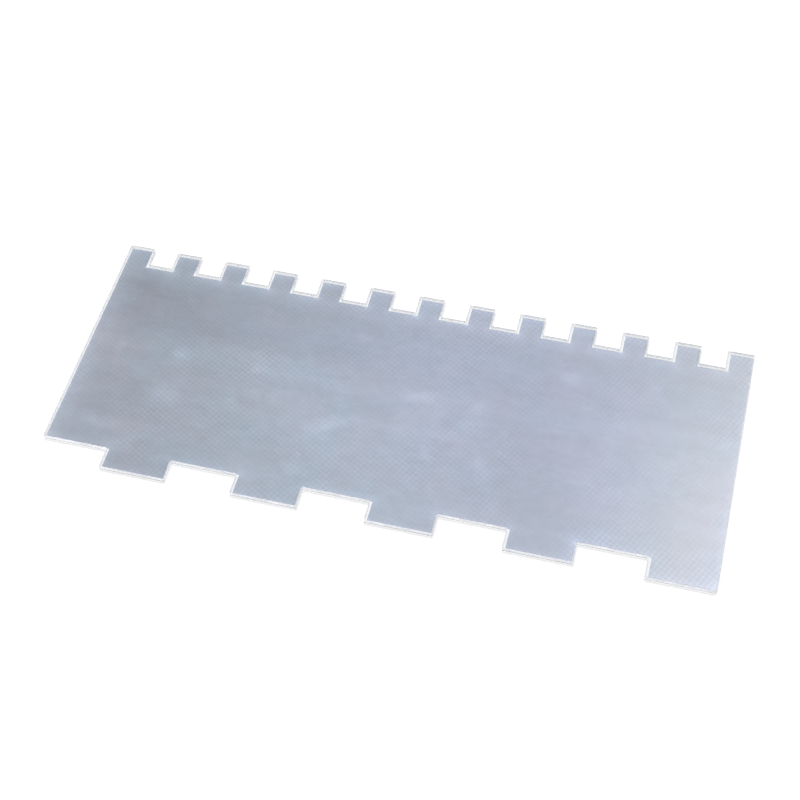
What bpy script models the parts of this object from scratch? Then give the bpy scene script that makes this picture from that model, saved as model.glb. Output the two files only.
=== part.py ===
"""Cake comb: one clear acrylic sheet with teeth cut into both long edges, on its protective film.

Metres, +Z up. X runs along the comb, -Y is the edge with the wide teeth, and the origin is the
centre of the underside. The comb lifts off its film along +Z.
"""

import bpy

# Size of the cut sheet
COMB_LENGTH = 0.240
COMB_WIDTH = 0.100
SHEET_THICKNESS = 0.002

# Narrow teeth on the far edge, with a tooth at both ends
NARROW_TOOTH_COUNT = 13
NARROW_TOOTH_WIDTH = 0.0096
NARROW_TOOTH_DEPTH = 0.008

# Wide teeth on the near edge, with a recess at the left end and a tooth at the right end
WIDE_TOOTH_COUNT = 5
WIDE_TOOTH_WIDTH = 0.024
WIDE_TOOTH_DEPTH = 0.008

# The cutting heat rounds the sheet's edges a little
EDGE_ROUND = 0.00015
EDGE_ROUND_SEGMENTS = 2

# The film lies loose under the sheet, and has shrunk back from the cut
FILM_THICKNESS = 0.0001
FILM_SETBACK = 0.00075
FILM_CLEARANCE = 0.0003

# Colours, as linear RGBA, and roughness
ACRYLIC_COLOUR = (0.93, 0.95, 0.97, 1.0)
ACRYLIC_ROUGHNESS = 0.05
ACRYLIC_IOR = 1.49
FILM_COLOUR = (0.42, 0.48, 0.57, 1.0)
FILM_ROUGHNESS = 0.45

# Far below any size here, and only joins the loose caps of an extruded outline
WELD_DISTANCE = 0.00001


def clear_scene():
    """Remove every object that the scene already holds."""
    for existing in list(bpy.data.objects):
        bpy.data.objects.remove(existing, do_unlink=True)


def plastic(name, colour, roughness, transmission=0.0):
    """A Principled material for a plastic that is clear or milky."""
    material = bpy.data.materials.new(name)
    material.use_nodes = True
    material.diffuse_color = colour
    shader = material.node_tree.nodes["Principled BSDF"]
    shader.inputs["Base Color"].default_value = colour
    shader.inputs["Roughness"].default_value = roughness
    shader.inputs["Metallic"].default_value = 0.0
    shader.inputs["IOR"].default_value = ACRYLIC_IOR
    shader.inputs["Transmission Weight"].default_value = transmission
    return material


def wide_edge():
    """Corners of the near edge from left to right: recess, tooth, recess, tooth."""
    outer = -COMB_WIDTH / 2
    inner = outer + WIDE_TOOTH_DEPTH
    pitch = COMB_LENGTH / WIDE_TOOTH_COUNT
    recess_width = pitch - WIDE_TOOTH_WIDTH
    corners = []
    for index in range(WIDE_TOOTH_COUNT):
        recess_left = -COMB_LENGTH / 2 + index * pitch
        tooth_left = recess_left + recess_width
        tooth_right = recess_left + pitch
        corners += [(recess_left, inner), (tooth_left, inner), (tooth_left, outer), (tooth_right, outer)]
    return corners


def narrow_edge():
    """Corners of the far edge from right to left: tooth, gap, tooth, and a tooth to end on."""
    outer = COMB_WIDTH / 2
    inner = outer - NARROW_TOOTH_DEPTH
    pitch = (COMB_LENGTH - NARROW_TOOTH_WIDTH) / (NARROW_TOOTH_COUNT - 1)
    corners = []
    for index in range(NARROW_TOOTH_COUNT):
        tooth_right = COMB_LENGTH / 2 - index * pitch
        tooth_left = tooth_right - NARROW_TOOTH_WIDTH
        if index > 0:
            corners += [(tooth_right, inner)]
        corners += [(tooth_right, outer), (tooth_left, outer)]
        if index < NARROW_TOOTH_COUNT - 1:
            corners += [(tooth_left, inner)]
    return corners


def inward(start, end):
    """Unit direction into the sheet, square to a side of the counterclockwise outline."""
    run_x = end[0] - start[0]
    run_y = end[1] - start[1]
    length = (run_x ** 2 + run_y ** 2) ** 0.5
    return -run_y / length, run_x / length


def drawn_in(corners, setback):
    """The same square-cornered outline with each side moved inward by the setback."""
    result = []
    for index, corner in enumerate(corners):
        before = inward(corners[index - 1], corner)
        after = inward(corner, corners[(index + 1) % len(corners)])
        result.append((corner[0] + setback * (before[0] + after[0]), corner[1] + setback * (before[1] + after[1])))
    return result


def flat_sheet(name, corners, underside, thickness, material):
    """A flat outline with a thickness, its underside at the given height."""
    outline = bpy.data.curves.new(name, "CURVE")
    outline.dimensions = "2D"
    outline.fill_mode = "BOTH"
    outline.extrude = thickness / 2
    spline = outline.splines.new("POLY")
    spline.points.add(len(corners) - 1)
    for point, (x, y) in zip(spline.points, corners):
        point.co = (x, y, 0.0, 1.0)
    spline.use_cyclic_u = True
    outline.materials.append(material)
    sheet = bpy.data.objects.new(name, outline)
    sheet.location.z = underside + thickness / 2
    weld = sheet.modifiers.new("Join caps", "WELD")
    weld.merge_threshold = WELD_DISTANCE
    return sheet


def protective_film(cut_outline):
    """The milky film, which the comb rests on."""
    material = plastic("milky_film", FILM_COLOUR, FILM_ROUGHNESS)
    return flat_sheet("protective_film", drawn_in(cut_outline, FILM_SETBACK), 0.0, FILM_THICKNESS, material)


def comb_plate(cut_outline):
    """The clear sheet, with its cut edges rounded a little by the heat."""
    material = plastic("clear_acrylic", ACRYLIC_COLOUR, ACRYLIC_ROUGHNESS, transmission=1.0)
    underside = FILM_THICKNESS + FILM_CLEARANCE
    plate = flat_sheet("comb_plate", cut_outline, underside, SHEET_THICKNESS, material)
    rounding = plate.modifiers.new("Heat-rounded edges", "BEVEL")
    rounding.width = EDGE_ROUND
    rounding.segments = EDGE_ROUND_SEGMENTS
    rounding.limit_method = "ANGLE"
    return plate


def build():
    """Make the comb and its film, parented to one empty at the centre of the underside."""
    clear_scene()
    parts = bpy.data.collections.new("cake_comb")
    bpy.context.scene.collection.children.link(parts)
    centre = bpy.data.objects.new("cake_comb_centre", None)
    centre.empty_display_size = COMB_WIDTH / 4
    parts.objects.link(centre)
    cut_outline = wide_edge() + narrow_edge()
    for piece in (protective_film(cut_outline), comb_plate(cut_outline)):
        parts.objects.link(piece)
        piece.parent = centre


build()
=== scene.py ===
"""Looks for a clear acrylic cake comb that lies on its milky protective film.

Metres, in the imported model's frame: X along the comb, +Y towards the narrow teeth, +Z up.
Colours are linear, and the scales of noise are in cycles per metre.
"""

import math

import bpy
import numpy as np
from mathutils import Matrix, Vector, noise


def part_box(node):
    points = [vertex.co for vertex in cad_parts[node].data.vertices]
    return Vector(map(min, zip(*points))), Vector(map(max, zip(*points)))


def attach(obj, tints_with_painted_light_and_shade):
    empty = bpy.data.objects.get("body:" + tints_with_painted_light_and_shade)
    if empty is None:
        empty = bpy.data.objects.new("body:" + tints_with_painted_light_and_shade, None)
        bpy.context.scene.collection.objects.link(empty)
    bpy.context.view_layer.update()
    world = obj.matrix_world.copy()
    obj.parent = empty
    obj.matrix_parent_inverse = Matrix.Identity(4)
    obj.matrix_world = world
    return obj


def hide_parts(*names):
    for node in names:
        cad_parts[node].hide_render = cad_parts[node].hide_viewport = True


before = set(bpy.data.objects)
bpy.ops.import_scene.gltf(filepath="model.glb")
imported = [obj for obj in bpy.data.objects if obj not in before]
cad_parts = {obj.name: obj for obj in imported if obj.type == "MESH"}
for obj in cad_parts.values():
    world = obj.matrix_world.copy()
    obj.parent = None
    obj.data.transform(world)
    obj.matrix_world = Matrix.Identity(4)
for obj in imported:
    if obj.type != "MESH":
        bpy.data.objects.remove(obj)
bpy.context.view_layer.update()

MM = 0.001
ALONG = (1.0, 0.0, 0.0)
UP = (0.0, 0.0, 1.0)
WHITE = (1.0, 1.0, 1.0, 1.0)

# Vector noise takes its seed from the clock if it is given none
NOISE_SEED = 1

# The photograph's camera, for a square picture
CAMERA_PLACE = Vector((0.09701, -0.32483, 0.46771))
CAMERA_TARGET = Vector((-0.000815, 0.00318, 0.0))
CAMERA_ROLL = math.radians(-2.8352)
CAMERA_LENS = 72.534
CAMERA_SENSOR = 36.0
CAMERA_CLIP_START = 0.01
CAMERA_CLIP_END = 20.0

# Two softboxes behind the comb: direction, distance, size, and power in watts.
# The key lights the comb from above, and the other only shines in its gloss
KEY_SOFTBOX = ((-0.2, 0.32, 1.0), 2.4, 0.6, 43.0)
GLOSS_SOFTBOX = ((0.34, 0.39, 0.855), 1.2, 0.3, 14.0)

# Even light from all round, and how white it is through the sheet, up to so many surfaces
WORLD_LIGHT = 0.4
WORLD_SEEN_THROUGH = 0.68
WORLD_SEEN_SURFACES = 3.5

# The floor is just under the film's lowest point. It glows a little, and more further out, where
# the lamps don't reach
FLOOR_HEIGHT = 0.0002
FLOOR_HALF = 3.0
FLOOR_GREY = (0.5, 0.5, 0.5, 1.0)
FLOOR_GLOW_NEAR = 0.525
FLOOR_GLOW_FAR = 0.9
FLOOR_GLOW_START = 0.4
FLOOR_GLOW_END = 1.6

# Light runs a long way inside the sheet, and none of it is ended early at random
LEAST_BOUNCES = 12
MOST_BOUNCES = 200
INDIRECT_CLAMP = 1.5

# Outline of the cut sheet, as in the part's source
COMB_LENGTH = 0.240
COMB_WIDTH = 0.100
NARROW_TOOTH_COUNT = 13
NARROW_TOOTH_WIDTH = 0.0096
WIDE_TOOTH_COUNT = 5
WIDE_TOOTH_WIDTH = 0.024
TOOTH_DEPTH = 0.008

# The film hangs just under the sheet, which starts at PLATE_UNDERSIDE. Its setback and its shift
# are given along the comb and across it
PLATE_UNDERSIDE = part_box("comb_plate")[0].z
FILM_SETBACK = (0.00076, 0.00055)
FILM_STRETCH = (1.0029, 1.0)
FILM_SHIFT = (0.00015, -0.00012)
FILM_THICKNESS = 0.00005
FILM_GRID = 0.001

# How far the film leaves the sheet: everywhere, where it is slack, and along its edge
FILM_LEAST_GAP = 0.00001
FILM_SLACK = 0.00005
FILM_SLACK_SIZE = 22 * MM
FILM_EDGE_DROOP = 0.00004
FILM_EDGE_WOBBLE = 0.00006
FILM_EDGE_WAVE = 5 * MM
FILM_EDGE_REACH = 0.0015

# Film material
FILM_BLUE = (0.327, 0.382, 0.456, 1.0)
FILM_GREY = (0.345, 0.375, 0.445, 1.0)
FILM_ROUGHNESS = 0.47
FILM_IOR = 2.1
FILM_BUMP_STRENGTH = 0.35
FILM_BUMP_DEPTH = 0.00004
GRID_BUMP = 0.35
WANDER_BUMP = 0.4

# The grid embossed in the film: two sets of waves, in cycles per metre, how far their phase
# wanders, and how strong they are in weak and in strong patches
EMBOSS_WAVES = ((-547.0, 273.0), (312.0, 527.0))
GRID_WANDER = 2.2
GRID_WEAK = 0.35
GRID_STRONG = 1.5

# How much each part of the film's texture changes its brightness
GRID_TONE = 0.086
MOTTLE_TONE = 0.54
STREAK_TONE = 0.26
GRAIN_TONE = 0.04
SPECK_TONE = 0.22

# Specks, at most one in each cell: cells per metre, the share of cells without one, and the
# radii in cells where a speck is full and where it ends
SPECK_CELLS = 75.0
SPECK_NONE = 0.74
SPECK_CORE = 0.012
SPECK_END = 0.034

# Soft patches in the film: x, y, half length, half width in mm, turn in degrees, and strength.
# Haze, where the film is milkier or clearer, and painted shade: broad clouds, then smudges and the
# ends
# The broad clouds that darken the right half are partly painted shade that tempers the gloss
# softbox's sheen, and the strip at the right end is painted shade
HAZE_AND_PAINTED_SHADE = (
    (-22, -29, 90, 42, 56, 0.10), (-98, 26, 57, 15, -4, -0.19), (85, -7, 45, 70, -24, -0.12),
    (-119, -25, 6, 90, 0, 0.17), (50, 28, 90, 15, 4, -0.10), (-50, 8, 16, 26, 50, 0.09),
    (51, -20, 19, 52, 12, -0.14), (-120, -25, 90, 70, 0, -0.055), (-107, 3, 2.5, 3, 0, 0.16),
    (-84.4, 4.4, 2.6, 3.4, 20, 0.17), (-82.5, -14.4, 5, 4, -35, 0.18), (-105, -32, 8, 2.5, 8, 0.15),
    (-90, -35, 5, 3, 40, 0.13), (-54, 5, 5, 2, 0, 0.12), (-24, 4, 6, 1.8, -8, 0.10),
    (-38, 4.5, 24, 2.6, 0, 0.05), (-24, -15, 8.5, 2.3, 33, 0.19), (-20, 27, 2.2, 1.8, 0, 0.11),
    (-61, -10, 2.6, 1.8, 0, 0.10), (-30, -35, 2.6, 2.2, 0, 0.11), (5.5, 6.5, 5, 1.9, 17, 0.17),
    (9, 5.5, 13, 3.6, 5, 0.06), (27.3, 4.5, 2.4, 5, 0, 0.12), (58, 25, 4.6, 3.4, -40, 0.17),
    (87.5, 26.3, 2.6, 2.5, 0, 0.11), (56, 2, 7, 1.7, 0, 0.10), (13.8, -18, 3.4, 1.7, -45, 0.12),
    (33.8, -17.5, 5.4, 2.1, -60, 0.12), (5, -10.3, 13, 1.8, 0, 0.08), (41, -36, 2.6, 5, 0, 0.09),
    (83, -36, 4.4, 2, 20, 0.11), (95, -9, 8, 6, 0, 0.05), (17.5, -4.4, 4, 2.5, 0, -0.11),
    (20.6, -15, 1.8, 3.2, 0, -0.09), (-5.5, -4, 5, 3, 0, -0.07), (67, 0, 3, 4.2, 0, -0.08),
    (73, 12.5, 3, 6, 0, -0.06), (82, -6, 4, 8, 0, -0.06), (-107, 34, 6, 5, 0, -0.06),
    (-101, -15, 10, 5, 0, -0.07), (120, 0, 2.5, 200, 0, -0.12), (-113, 37, 9, 6, 0, -0.05),
)
# Where the film looks bluer or less blue, and redder
VIOLET = ((95, -22, 120, 59, -36, 0.17), (105, -29, 52, 21, -92, -0.13), (0, 22, 300, 9, 0, 0.02))
WARM = ((114, -32, 9, 67, -15, 0.09), (-125, 7, 20, 89, 26, 0.06))
# Where the grid shows less, because the film clings to the sheet, and where it shows more
CLING = (
    (-110, -40, 9, 38, 0, -0.88), (59, 5, 11, 81, 0, -1.20), (36, 4, 7, 16, 0, -0.71),
    (95, 13, 17, 21, 0, -0.90), (-94, 20, 42, 23, 0, -0.64), (-61, 7, 24, 13.5, 0, 1.20),
    (-20, 4, 52, 65, 0, -0.38), (110, -22, 13, 24, 0, -0.60),
)
GRIP_LEAST = 0.15
GRIP_MOST = 1.5
# Painted light along sides that face near, far and left, and painted shade along sides that face
# right: x, y, strength, and reach
EDGE_PAINTED_LIGHT_AND_SHADE = (
    (0, -1, 0.22, 0.0015), (0, 1, 0.28, 0.0017), (-1, 0, 0.12, 0.0018), (1, 0, -0.09, 0.0015),
)
# Noise that frays the patches' outlines: its height in the noise, its size, and its reach in mm
FRAYS = ((0.4, 11 * MM, 2.0), (0.9, 3.5 * MM, 0.7))

# Acrylic material: the polished faces, and the laser-cut walls with their frost and fine ridges
ACRYLIC_IOR = 1.49
# The faces' tint is darker than clear acrylic, partly painted shade on the floor and film seen
# through the sheet. The walls' lavender tint is painted film-coloured light that the sheet carries
# to its edges, and is dimmed
FACE_TINT_AND_PAINTED_SHADE = (0.935, 0.945, 0.957, 1.0)
WALL_TINT_AND_PAINTED_LIGHT = (0.93, 0.942, 1.0, 1.0)
FROST_LEAST = 0.06
FROST_MOST = 0.2
RIDGE_STRENGTH = 0.35
RIDGE_DEPTH = 0.00003

# A normal this far from level belongs to a wall, and one this near to level to a face
WALL_LEVEL = 0.2
FACE_LEVEL = 0.9

# A grey line along the foot of the walls, a painted contact shade: up to where it is full and where
# it ends, above the sheet's underside, how far it covers the clear wall, and how much weaker it is
# from inside
FOOT_SHADE_HEIGHT = 0.00016
FOOT_SHADE_END = 0.00044
FOOT_SHADE_GREY = (0.25, 0.26, 0.28, 1.0)
FOOT_SHADE_COVER = 0.88
FOOT_SHADE_INSIDE = 0.55

# The share of lamp light that passes each surface. The right end passes more than other walls
FACE_PASSES = (0.94, 0.95, 0.955, 1.0)
WALL_PASSES = (0.35, 0.35, 0.36, 1.0)
RIGHT_END_PASSES = (0.8, 0.8, 0.81, 1.0)
RIGHT_END_START = COMB_LENGTH / 2 - 0.001
RIGHT_END_FULL = COMB_LENGTH / 2 - 0.0004


def node(tree, kind, inputs=(), **settings):
    """Add a node, apply its settings, and link or set its inputs, given by socket."""
    made = tree.nodes.new(kind)
    for key, value in settings.items():
        setattr(made, key, value)
    for key, value in dict(inputs).items():
        if isinstance(value, bpy.types.NodeSocket):
            tree.links.new(value, made.inputs[key])
        else:
            made.inputs[key].default_value = value
    return made


def calc(tree, operation, *values):
    """A math node's result. A value is a number or a socket."""
    return node(tree, "ShaderNodeMath", enumerate(values), operation=operation).outputs[0]


def ramp(tree, value, low, high, out_low=0.0, out_high=1.0):
    """Map a value smoothly from one range to another, clamped at both ends."""
    inputs = {"Value": value, 1: low, 2: high, 3: out_low, 4: out_high}
    return node(tree, "ShaderNodeMapRange", inputs, interpolation_type="SMOOTHSTEP").outputs[0]


def fbm(tree, vector, scale, detail, roughness=0.5, distortion=0.0, offset=(0.0, 0.0, 0.0),
        stretch=(1.0, 1.0, 1.0)):
    """Noise from 0 to 1."""
    placement = {"Vector": vector, "Location": offset, "Scale": stretch}
    mapped = node(tree, "ShaderNodeMapping", placement).outputs[0]
    inputs = {
        "Vector": mapped, "Scale": scale, "Detail": detail, "Roughness": roughness,
        "Distortion": distortion,
    }
    return node(tree, "ShaderNodeTexNoise", inputs).outputs["Fac"]


def centred(tree, value):
    """Noise from 0 to 1, moved to lie about 0."""
    return calc(tree, "SUBTRACT", value, 0.5)


def dot(tree, vector, direction):
    """The dot product of a vector socket and a fixed direction."""
    inputs = {0: vector, 1: direction}
    return node(tree, "ShaderNodeVectorMath", inputs, operation="DOT_PRODUCT").outputs["Value"]


def product(tree, first, second):
    """Two colours or vectors, multiplied channel by channel. A number counts for all three."""
    inputs = {0: first, 1: second}
    return node(tree, "ShaderNodeVectorMath", inputs, operation="MULTIPLY").outputs[0]


def blend_colour(tree, share, first, second):
    """Mix two colours, each a tuple or a socket, by a share."""
    inputs = {0: share, 6: first, 7: second}
    return node(tree, "ShaderNodeMix", inputs, data_type="RGBA", blend_type="MIX").outputs[2]


def undiffused(tree, path):
    """1 for a ray that no surface has scattered yet, or else 0."""
    return calc(tree, "LESS_THAN", path["Diffuse Depth"], 0.5)


def object_place(tree):
    """The place on the surface, in metres."""
    return node(tree, "ShaderNodeTexCoord").outputs["Object"]


def new_material(name):
    """A new node material, with its node tree and its Principled shader."""
    material = bpy.data.materials.new(name)
    material.use_nodes = True
    tree = material.node_tree
    return material, tree, tree.nodes["Principled BSDF"]


def place_camera():
    """The photograph's camera, turned by its small roll."""
    data = bpy.data.cameras.new("camera")
    data.lens = CAMERA_LENS
    data.sensor_width = CAMERA_SENSOR
    data.clip_start = CAMERA_CLIP_START
    data.clip_end = CAMERA_CLIP_END
    camera = bpy.data.objects.new("camera", data)
    bpy.context.scene.collection.objects.link(camera)
    forward = (CAMERA_TARGET - CAMERA_PLACE).normalized()
    right = forward.cross(Vector(UP)).normalized()
    up = right.cross(forward)
    turned_right = math.cos(CAMERA_ROLL) * right + math.sin(CAMERA_ROLL) * up
    turned_up = math.cos(CAMERA_ROLL) * up - math.sin(CAMERA_ROLL) * right
    matrix = Matrix((turned_right, turned_up, -forward)).transposed().to_4x4()
    matrix.translation = CAMERA_PLACE
    camera.matrix_world = matrix
    bpy.context.scene.camera = camera


def sheet_outline():
    """Corners of the cut sheet, counterclockwise: the wide teeth, then the narrow teeth back."""
    near = -COMB_WIDTH / 2
    far = COMB_WIDTH / 2
    wide_pitch = COMB_LENGTH / WIDE_TOOTH_COUNT
    corners = []
    for index in range(WIDE_TOOTH_COUNT):
        left = -COMB_LENGTH / 2 + index * wide_pitch
        right = left + wide_pitch
        tooth = right - WIDE_TOOTH_WIDTH
        corners += [(left, near + TOOTH_DEPTH), (tooth, near + TOOTH_DEPTH)]
        corners += [(tooth, near), (right, near)]
    narrow_pitch = (COMB_LENGTH - NARROW_TOOTH_WIDTH) / (NARROW_TOOTH_COUNT - 1)
    for index in range(NARROW_TOOTH_COUNT):
        right = COMB_LENGTH / 2 - index * narrow_pitch
        left = right - NARROW_TOOTH_WIDTH
        if index > 0:
            corners.append((right, far - TOOTH_DEPTH))
        corners += [(right, far), (left, far)]
        if index < NARROW_TOOTH_COUNT - 1:
            corners.append((left, far - TOOTH_DEPTH))
    return np.array(corners)


def drawn_in(corners):
    """The outline with each side moved inward by the film's setback, then stretched and shifted."""
    along = np.roll(corners, -1, axis=0) - corners
    along /= np.linalg.norm(along, axis=1)[:, None]
    inward = np.stack([-along[:, 1], along[:, 0]], axis=1)
    moved = corners + (inward + np.roll(inward, 1, axis=0)) * FILM_SETBACK
    return moved * FILM_STRETCH + FILM_SHIFT


def lines_between(values, step):
    """Sorted grid lines through every value, with even ones between, no further apart than step."""
    fixed = sorted(set(np.round(values, 7)))
    lines = []
    for start, end in zip(fixed, fixed[1:]):
        count = max(1, math.ceil((end - start) / step - 1e-6))
        lines += list(np.linspace(start, end, count, endpoint=False))
    return lines + [fixed[-1]]


def inside(corners, x, y):
    """True if a point is inside the outline."""
    x0, y0 = corners.T
    x1, y1 = np.roll(corners, -1, axis=0).T
    crossed = (y0 > y) != (y1 > y)
    across = x0 + (y - y0) * (x1 - x0) / np.where(y1 == y0, 1.0, y1 - y0)
    return int(np.sum(crossed & (x < across))) % 2 == 1


def edge_distance(corners, points, facing=None):
    """Distance from each point to the nearest side of the outline, of those that face one way."""
    best = np.full(len(points), 1.0)
    for start, end in zip(corners, np.roll(corners, -1, axis=0)):
        run = end - start
        if facing and run[1] * facing[0] - run[0] * facing[1] <= 0:
            continue
        share = np.clip((points - start) @ run / (run @ run), 0.0, 1.0)
        best = np.minimum(best, np.linalg.norm(points - start - share[:, None] * run, axis=1))
    return best


def patches(points, rows):
    """The sum of soft elliptical patches at each point."""
    total = np.zeros(len(points))
    for x, y, length, width, turn, strength in rows:
        angle = math.radians(turn)
        offset = points / MM - (x, y)
        along = offset @ (math.cos(angle), math.sin(angle))
        across = offset @ (-math.sin(angle), math.cos(angle))
        total += strength * np.exp(-((along / length) ** 2) - (across / width) ** 2)
    return total


def frayed(points):
    """The points, each moved a little by noise of two sizes."""
    moved = points.copy()
    for level, size, reach in FRAYS:
        for index, (x, y) in enumerate(points.tolist()):
            push = noise.noise_vector(Vector((x, y, level)) / size)
            moved[index] += (MM * reach * push.x, MM * reach * push.y)
    return moved


def tint_film(mesh, points, corners):
    """Store the film's haze and hue, with painted light and shade near its sides and ends, and how
    much its grid shows, at each vertex.
    """
    warped = frayed(points)
    haze_with_painted_light_and_shade = 1.0 + patches(warped, HAZE_AND_PAINTED_SHADE)
    for x, y, strength, reach in EDGE_PAINTED_LIGHT_AND_SHADE:
        haze_with_painted_light_and_shade += strength * np.exp(-edge_distance(corners, points, (x, y)) / reach)
    red = haze_with_painted_light_and_shade * (1.0 + patches(warped, WARM))
    blue = haze_with_painted_light_and_shade * (1.0 + patches(warped, VIOLET))
    colours = np.stack([red, haze_with_painted_light_and_shade, blue], axis=1)
    grip = np.clip(1.0 + patches(warped, CLING), GRIP_LEAST, GRIP_MOST)
    mesh.attributes.new("haze_with_painted_light_and_shade", "FLOAT_VECTOR", "POINT").data.foreach_set("vector", colours.ravel())
    mesh.attributes.new("grip", "FLOAT", "POINT").data.foreach_set("value", grip)


def hung(x, y, distance):
    """Where a vertex of the film hangs, given its place and its distance from the film's edge."""
    fine = Vector((x, y, 0.0)) / FILM_EDGE_WAVE
    broad = Vector((x, y, 0.0)) / FILM_SLACK_SIZE
    apart = Vector((7.0, 0.0, 3.0))
    rim = max(0.0, 1.0 - distance / FILM_EDGE_REACH) ** 2
    wobble = FILM_EDGE_WOBBLE * rim * noise.noise_vector(fine)
    slack = FILM_SLACK * (0.5 + 0.5 * noise.noise(broad))
    droop = FILM_EDGE_DROOP * rim * (0.6 + 0.8 * noise.noise(fine + apart))
    top = PLATE_UNDERSIDE - FILM_LEAST_GAP - max(0.0, slack) - max(0.0, droop)
    return x + wobble.x, y + wobble.y, top


def sharpen_rim(mesh):
    """Mark the edges that only one face uses as sharp."""
    uses = {}
    for face in mesh.polygons:
        for key in face.edge_keys:
            uses[key] = uses.get(key, 0) + 1
    for edge in mesh.edges:
        edge.use_edge_sharp = uses[edge.key] == 1


def film_mesh():
    """The film as a grid of quads inside its outline, sagging a little below the sheet."""
    corners = drawn_in(sheet_outline())
    xs = lines_between(corners[:, 0], FILM_GRID)
    ys = lines_between(corners[:, 1], FILM_GRID)
    index = {}
    faces = []
    for j in range(len(ys) - 1):
        for i in range(len(xs) - 1):
            if inside(corners, (xs[i] + xs[i + 1]) / 2, (ys[j] + ys[j + 1]) / 2):
                cell = ((i, j), (i + 1, j), (i + 1, j + 1), (i, j + 1))
                faces.append([index.setdefault(key, len(index)) for key in cell])
    points = np.array([(xs[i], ys[j]) for i, j in index])
    distances = edge_distance(corners, points).tolist()
    vertices = [hung(x, y, distance) for (x, y), distance in zip(points.tolist(), distances)]
    mesh = bpy.data.meshes.new("milky_film_sheet")
    mesh.from_pydata(vertices, [], faces)
    mesh.update()
    tint_film(mesh, points, corners)
    sharpen_rim(mesh)
    return mesh


def make_film():
    """The film piece, which stands for the CAD film."""
    film = bpy.data.objects.new("milky_film_sheet", film_mesh())
    bpy.context.scene.collection.objects.link(film)
    solid = film.modifiers.new("thickness", "SOLIDIFY")
    solid.thickness = FILM_THICKNESS
    solid.offset = -1.0
    for face in film.data.polygons:
        face.use_smooth = True
    film.data.materials.append(film_material())
    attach(film, "film")
    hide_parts("protective_film")


def embossed_grid(tree, place, jitter):
    """The embossed grid's height, from -1.5 to 1.5: two sets of waves, stronger in some patches."""
    shift = calc(tree, "MULTIPLY", centred(tree, jitter), GRID_WANDER)
    waves = []
    for across, along in EMBOSS_WAVES:
        phase = dot(tree, place, (2 * math.pi * across, 2 * math.pi * along, 0.0))
        waves.append(calc(tree, "COSINE", calc(tree, "ADD", phase, shift)))
    emboss = calc(tree, "MULTIPLY", calc(tree, "ADD", waves[0], waves[1]), 0.5)
    spread = fbm(tree, place, 45.0, detail=3.0, offset=(3.1, 0.7, 0.0))
    patch = ramp(tree, spread, 0.32, 0.66, GRID_WEAK, GRID_STRONG)
    grip = node(tree, "ShaderNodeAttribute", attribute_name="grip").outputs["Fac"]
    return calc(tree, "MULTIPLY", emboss, calc(tree, "MULTIPLY", patch, grip))


def film_shade(tree, place, grid):
    """How much brighter or darker the grid, mottling, streaks, specks and grain make the film."""
    mottle = fbm(tree, place, 110.0, detail=5.0, roughness=0.9, distortion=0.4,
                 stretch=(1.0, 1.5, 1.0))
    streak = fbm(tree, place, 75.0, detail=4.0, roughness=0.6, offset=(0.0, 1.7, 0.0),
                 stretch=(0.22, 1.6, 1.0))
    cloud = calc(tree, "MULTIPLY_ADD", centred(tree, mottle), MOTTLE_TONE, 1.0)
    cloud = calc(tree, "MULTIPLY_ADD", centred(tree, streak), STREAK_TONE, cloud)
    tone = calc(tree, "MULTIPLY_ADD", grid, GRID_TONE, 1.0)
    fine = fbm(tree, place, 1500.0, detail=2.0)
    grain = calc(tree, "MULTIPLY_ADD", fine, GRAIN_TONE, 1.0 - GRAIN_TONE / 2)
    cells = node(tree, "ShaderNodeTexVoronoi", {"Vector": place, "Scale": SPECK_CELLS},
                 voronoi_dimensions="2D").outputs
    draw = node(tree, "ShaderNodeSeparateColor", {0: cells["Color"]}).outputs[0]
    chosen = calc(tree, "GREATER_THAN", draw, SPECK_NONE)
    spot = ramp(tree, cells["Distance"], SPECK_CORE, SPECK_END, 1.0, 0.0)
    spark = calc(tree, "MULTIPLY_ADD", calc(tree, "MULTIPLY", chosen, spot), SPECK_TONE, 1.0)
    texture = calc(tree, "MULTIPLY", tone, grain)
    return calc(tree, "MULTIPLY", texture, calc(tree, "MULTIPLY", cloud, spark))


def film_material():
    """Milky blue-grey polyethylene, finely embossed, with mottling, streaks, specks and haze, and
    with painted light and shade.
    """
    material, tree, shader = new_material("milky_embossed_film")
    place = object_place(tree)
    jitter = fbm(tree, place, 90.0, detail=2.0)
    grid = embossed_grid(tree, place, jitter)
    broad = fbm(tree, place, 60.0, detail=3.0, offset=(0.9, 2.3, 0.0))
    base = blend_colour(tree, ramp(tree, broad, 0.35, 0.65), FILM_BLUE, FILM_GREY)
    haze_with_painted_light_and_shade = node(tree, "ShaderNodeAttribute", attribute_name="haze_with_painted_light_and_shade").outputs["Vector"]
    colour = product(tree, product(tree, base, haze_with_painted_light_and_shade), film_shade(tree, place, grid))
    tree.links.new(colour, shader.inputs["Base Color"])
    shader.inputs["Roughness"].default_value = FILM_ROUGHNESS
    shader.inputs["IOR"].default_value = FILM_IOR
    wander = calc(tree, "MULTIPLY", jitter, WANDER_BUMP)
    height = calc(tree, "MULTIPLY_ADD", grid, GRID_BUMP, wander)
    bump_inputs = {"Strength": FILM_BUMP_STRENGTH, "Distance": FILM_BUMP_DEPTH, "Height": height}
    bump = node(tree, "ShaderNodeBump", bump_inputs)
    tree.links.new(bump.outputs[0], shader.inputs["Normal"])
    return material


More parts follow.
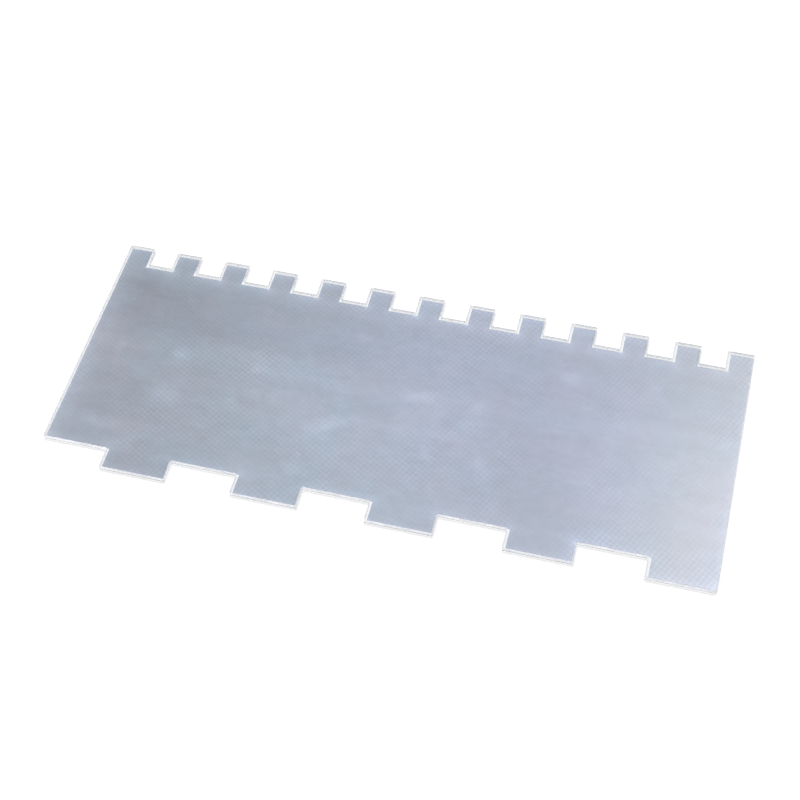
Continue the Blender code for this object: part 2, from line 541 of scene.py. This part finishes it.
def painted_foot_shade(tree, place, wall, backfacing):
    """How strongly the painted contact shade at the foot of the walls shows, from 0 to 1."""
    above = calc(tree, "SUBTRACT", dot(tree, place, UP), PLATE_UNDERSIDE)
    band = ramp(tree, above, FOOT_SHADE_HEIGHT, FOOT_SHADE_END, 1.0, 0.0)
    seen_from = calc(tree, "MULTIPLY_ADD", backfacing, -FOOT_SHADE_INSIDE, 1.0)
    return calc(tree, "MULTIPLY", calc(tree, "MULTIPLY", wall, band), seen_from)


def passing_lamp_light(tree, place, level, shader):
    """The shader, but clear to lamp light, of which the cut walls turn a part aside."""
    beyond = dot(tree, place, ALONG)
    right_end = ramp(tree, beyond, RIGHT_END_START, RIGHT_END_FULL)
    cut = blend_colour(tree, right_end, WALL_PASSES, RIGHT_END_PASSES)
    passed = blend_colour(tree, level, cut, FACE_PASSES)
    clear = node(tree, "ShaderNodeBsdfTransparent", {"Color": passed})
    shadow_ray = node(tree, "ShaderNodeLightPath").outputs["Is Shadow Ray"]
    inputs = {0: shadow_ray, 1: shader.outputs[0], 2: clear.outputs[0]}
    return node(tree, "ShaderNodeMixShader", inputs).outputs[0]


def acrylic_material():
    """Clear acrylic with polished faces and laser-cut walls, its tints partly painted light and
    shade, and a painted contact shade at the walls' foot.
    """
    material, tree, shader = new_material("clear_cut_acrylic")
    place = object_place(tree)
    geometry = node(tree, "ShaderNodeNewGeometry").outputs
    upright = calc(tree, "ABSOLUTE", dot(tree, geometry["True Normal"], UP))
    level = ramp(tree, upright, WALL_LEVEL, FACE_LEVEL)
    wall = calc(tree, "SUBTRACT", 1.0, level)
    foot_shade = painted_foot_shade(tree, place, wall, geometry["Backfacing"])
    tints_with_painted_light_and_shade = blend_colour(tree, wall, FACE_TINT_AND_PAINTED_SHADE, WALL_TINT_AND_PAINTED_LIGHT)
    tree.links.new(blend_colour(tree, foot_shade, tints_with_painted_light_and_shade, FOOT_SHADE_GREY), shader.inputs["Base Color"])
    clear = calc(tree, "MULTIPLY_ADD", foot_shade, -FOOT_SHADE_COVER, 1.0)
    tree.links.new(clear, shader.inputs["Transmission Weight"])
    shader.inputs["IOR"].default_value = ACRYLIC_IOR
    spread = fbm(tree, place, 400.0, detail=3.0)
    frost = ramp(tree, spread, 0.3, 0.7, FROST_LEAST, FROST_MOST)
    tree.links.new(calc(tree, "MULTIPLY", wall, frost), shader.inputs["Roughness"])
    lines = fbm(tree, place, 2600.0, detail=2.0, roughness=0.6, stretch=(1.0, 1.0, 0.06))
    strength = calc(tree, "MULTIPLY", wall, RIDGE_STRENGTH)
    bump_inputs = {"Strength": strength, "Distance": RIDGE_DEPTH, "Height": lines}
    ridges = node(tree, "ShaderNodeBump", bump_inputs)
    tree.links.new(ridges.outputs[0], shader.inputs["Normal"])
    surface = passing_lamp_light(tree, place, level, shader)
    tree.links.new(surface, tree.nodes["Material Output"].inputs["Surface"])
    return material


def dress_plate():
    """Give the CAD plate its clear material."""
    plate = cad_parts["comb_plate"]
    material = acrylic_material()
    for slot in plate.material_slots:
        slot.material = material


def floor_material():
    """Pale, with a glow that is for the eye and clear surfaces only, and lights nothing."""
    material = bpy.data.materials.new("pale_floor")
    material.cycles.emission_sampling = "NONE"
    material.use_nodes = True
    tree = material.node_tree
    tree.nodes.clear()
    path = node(tree, "ShaderNodeLightPath").outputs
    away = {0: object_place(tree)}
    distance = node(tree, "ShaderNodeVectorMath", away, operation="LENGTH").outputs["Value"]
    rise = ramp(tree, distance, FLOOR_GLOW_START, FLOOR_GLOW_END, FLOOR_GLOW_NEAR, FLOOR_GLOW_FAR)
    strength = calc(tree, "MULTIPLY", undiffused(tree, path), rise)
    diffuse = node(tree, "ShaderNodeBsdfDiffuse", {"Color": FLOOR_GREY})
    glow = node(tree, "ShaderNodeEmission", {"Color": WHITE, "Strength": strength})
    both = node(tree, "ShaderNodeAddShader", {0: diffuse.outputs[0], 1: glow.outputs[0]})
    node(tree, "ShaderNodeOutputMaterial", {"Surface": both.outputs[0]})
    return material


def make_floor():
    """A pale floor that shows white behind the object and keeps its shadow."""
    mesh = bpy.data.meshes.new("floor")
    half = FLOOR_HALF
    corners = [(-half, -half, 0.0), (half, -half, 0.0), (half, half, 0.0), (-half, half, 0.0)]
    mesh.from_pydata(corners, [], [(0, 1, 2, 3)])
    mesh.materials.append(floor_material())
    floor = bpy.data.objects.new("floor", mesh)
    floor.location.z = FLOOR_HEIGHT
    bpy.context.scene.collection.objects.link(floor)


def make_softbox(name, direction, distance, size, power):
    """A square softbox that faces the comb, and that no ray through the sheet sees."""
    data = bpy.data.lights.new(name, "AREA")
    data.shape = "SQUARE"
    data.size = size
    data.energy = power
    data.cycles.use_multiple_importance_sampling = False
    towards = Vector(direction).normalized()
    lamp = bpy.data.objects.new(name, data)
    lamp.location = distance * towards
    lamp.rotation_mode = "QUATERNION"
    lamp.rotation_quaternion = (-towards).to_track_quat("-Z", "Y")
    lamp.visible_transmission = False
    bpy.context.scene.collection.objects.link(lamp)
    return lamp


def make_lamps():
    """Light from above, and a softbox on the right whose gloss brightens the film's right end."""
    make_softbox("key_softbox", *KEY_SOFTBOX).visible_glossy = False
    make_softbox("gloss_softbox", *GLOSS_SOFTBOX).visible_diffuse = False


def make_world():
    """Even light, white for the camera and nearly so for what it sees through the sheet's edges."""
    world = bpy.data.worlds.new("studio")
    bpy.context.scene.world = world
    world.use_nodes = True
    world.cycles.sampling_method = "NONE"
    tree = world.node_tree
    tree.nodes.clear()
    path = node(tree, "ShaderNodeLightPath").outputs
    shallow = calc(tree, "LESS_THAN", path["Transmission Depth"], WORLD_SEEN_SURFACES)
    direct = calc(tree, "MULTIPLY", undiffused(tree, path), shallow)
    through = calc(tree, "MULTIPLY", path["Is Transmission Ray"], direct)
    partly = calc(tree, "MULTIPLY", through, WORLD_SEEN_THROUGH)
    shown = calc(tree, "MAXIMUM", path["Is Camera Ray"], partly)
    light = node(tree, "ShaderNodeBackground", {"Color": WHITE, "Strength": WORLD_LIGHT})
    white = node(tree, "ShaderNodeBackground", {"Color": WHITE, "Strength": 1.0})
    both = node(tree, "ShaderNodeMixShader", {0: shown, 1: light.outputs[0], 2: white.outputs[0]})
    node(tree, "ShaderNodeOutputWorld", {"Surface": both.outputs[0]})


def set_view():
    """Standard colours, and enough bounces for light that runs along inside the sheet."""
    scene = bpy.context.scene
    scene.view_settings.view_transform = "Standard"
    scene.cycles.use_denoising = True
    scene.cycles.blur_glossy = 0.0
    scene.cycles.min_light_bounces = LEAST_BOUNCES
    scene.cycles.sample_clamp_indirect = INDIRECT_CLAMP
    scene.cycles.max_bounces = MOST_BOUNCES
    scene.cycles.glossy_bounces = MOST_BOUNCES
    scene.cycles.transmission_bounces = MOST_BOUNCES


noise.seed_set(NOISE_SEED)
place_camera()
make_film()
dress_plate()
make_floor()
make_lamps()
make_world()
set_view()
